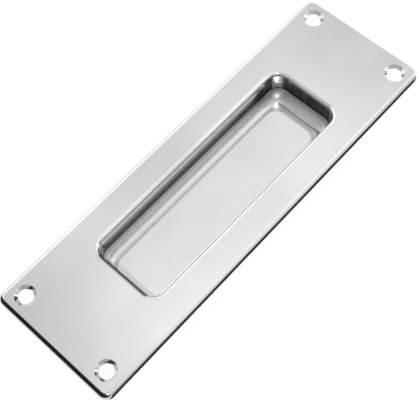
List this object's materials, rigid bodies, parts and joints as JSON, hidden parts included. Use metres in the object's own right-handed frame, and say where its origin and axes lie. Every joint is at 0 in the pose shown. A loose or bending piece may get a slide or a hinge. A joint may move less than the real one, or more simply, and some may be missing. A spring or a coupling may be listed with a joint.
{
  "type": "flush pull",
  "caption": "Rectangular flush pull for a sliding door: a polished sheet plate with a turned-down edge, a drawn finger recess and countersunk screw holes.",
  "frame": {"origin": "centre of the plane in which the plate's turned-down edge meets the door", "axes": "+Z out of the door, square to the plate; +Y along the plate's length; +X across its width"},
  "size_m": [0.057, 0.178, 0.0143],
  "materials": {
    "polished_plate": "bright polished plating on sheet steel, satin on the recess floor"
  },
  "bodies": {
    "root": {"flush_pull": "polished_plate"}
  },
  "joints": []
}
